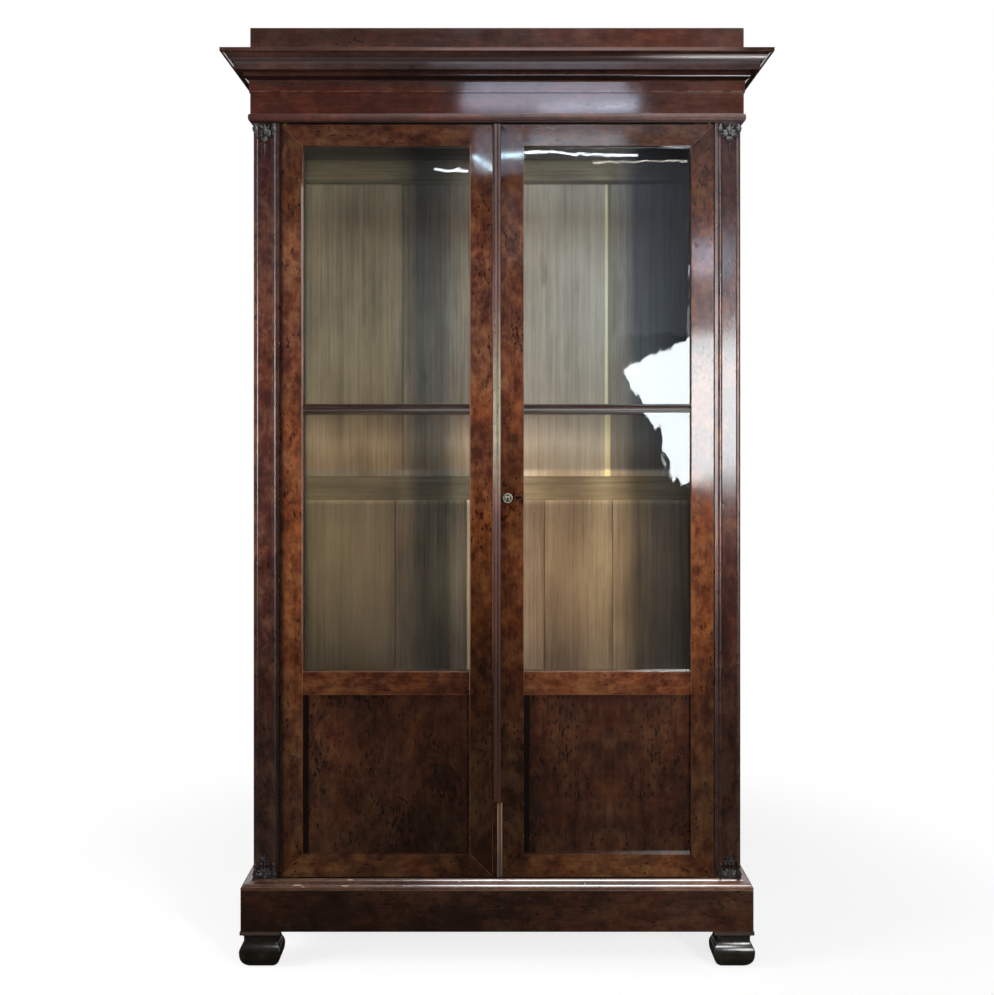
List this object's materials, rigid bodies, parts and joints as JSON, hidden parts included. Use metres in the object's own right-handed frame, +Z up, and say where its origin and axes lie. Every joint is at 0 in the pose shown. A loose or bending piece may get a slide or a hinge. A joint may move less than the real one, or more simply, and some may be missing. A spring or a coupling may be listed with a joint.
{
  "type": "display cabinet",
  "caption": "Tall glazed display and book cabinet: framed doors with lights over panels, shelves on notched racks, mitred cornice, reeded posts, plinth and ogee feet.",
  "frame": {"origin": "on the floor, under the middle of the cabinet's bounding box", "axes": "+X to the right seen from the front, +Y from the front to the back, +Z up; the doors face -Y"},
  "size_m": [1.3, 0.45, 2.245],
  "materials": {
    "carcass_mahogany": "polished mahogany veneer, dark red-brown",
    "plinth_mahogany": "polished mahogany veneer, nearly black-brown",
    "door_mahogany": "polished mottled mahogany veneer",
    "panel_mahogany": "polished mottled mahogany veneer, dark",
    "blackened_wood": "blackened, polished",
    "inside_oak": "bare aged oak",
    "window_glass": "clear old glass",
    "brass": "aged brass",
    "pale_metal": "worn pale metal",
    "lock_iron": "dull iron",
    "dark_bronze": "blackened bronze"
  },
  "bodies": {
    "cabinet": {"back_posts": "inside_oak", "back_rails": "inside_oak", "bottom_board": "inside_oak", "cap_front": "carcass_mahogany", "cap_lid": "inside_oak", "cap_returns": "carcass_mahogany", "cornice_front": "carcass_mahogany", "cornice_returns": "carcass_mahogany", "door_stop": "inside_oak", "feet": "blackened_wood", "frieze_bead": "carcass_mahogany", "frieze_front": "carcass_mahogany", "frieze_returns": "carcass_mahogany", "left_front_post": "carcass_mahogany", "left_side_panel": "carcass_mahogany", "lower_back_boards": "inside_oak", "lower_shelf": "inside_oak", "pivot_plates": "brass", "plinth_back": "inside_oak", "plinth_blocks": "inside_oak", "plinth_front": "plinth_mahogany", "plinth_moulding": "plinth_mahogany", "plinth_sides": "plinth_mahogany", "post_mounts": "dark_bronze", "right_front_post": "carcass_mahogany", "right_side_panel": "carcass_mahogany", "shelf_cleats": "inside_oak", "shelf_racks": "inside_oak", "side_rails": "carcass_mahogany", "top_board": "inside_oak", "upper_back_boards": "inside_oak", "upper_shelf": "inside_oak"},
    "left_door": {"left_door_bottom_rail": "door_mahogany", "left_door_fittings": "brass", "left_door_glass": "window_glass", "left_door_glazing_bar": "door_mahogany", "left_door_glazing_beads": "door_mahogany", "left_door_lock_rail": "door_mahogany", "left_door_meeting_stile": "door_mahogany", "left_door_outer_stile": "door_mahogany", "left_door_panel": "panel_mahogany", "left_door_pivots": "brass", "left_door_top_rail": "door_mahogany"},
    "right_door": {"right_door_bottom_rail": "door_mahogany", "right_door_glass": "window_glass", "right_door_glazing_bar": "door_mahogany", "right_door_glazing_beads": "door_mahogany", "right_door_lock_rail": "door_mahogany", "right_door_meeting_stile": "door_mahogany", "right_door_outer_stile": "door_mahogany", "right_door_panel": "panel_mahogany", "right_door_pivots": "brass", "right_door_top_rail": "door_mahogany", "meeting_bead": "door_mahogany", "escutcheon": "pale_metal", "lock_case": "lock_iron"},
    "upper_rod": {"upper_rod_bolt": "brass"},
    "lower_rod": {"lower_rod_bolt": "brass"},
    "lock_bolt_body": {"lock_bolt": "brass"}
  },
  "joints": [
    {"name": "left_door_swing", "type": "hinge", "parent": "cabinet", "child": "left_door", "pos_m": [-0.511, -0.1505, 1.11], "axis": [0, 0, -1], "range_deg": [0, 110]},
    {"name": "right_door_swing", "type": "hinge", "parent": "cabinet", "child": "right_door", "pos_m": [0.511, -0.1505, 1.11], "axis": [0, 0, 1], "range_deg": [0, 110]},
    {"name": "upper_rod_slide", "type": "slide", "parent": "left_door", "child": "upper_rod", "axis": [0, 0, 1], "range_m": [0, 0.01]},
    {"name": "lower_rod_slide", "type": "slide", "parent": "left_door", "child": "lower_rod", "axis": [0, 0, -1], "range_m": [0, 0.01]},
    {"name": "lock_bolt_slide", "type": "slide", "parent": "right_door", "child": "lock_bolt_body", "axis": [-1, 0, 0], "range_m": [0, 0.008]}
  ]
}
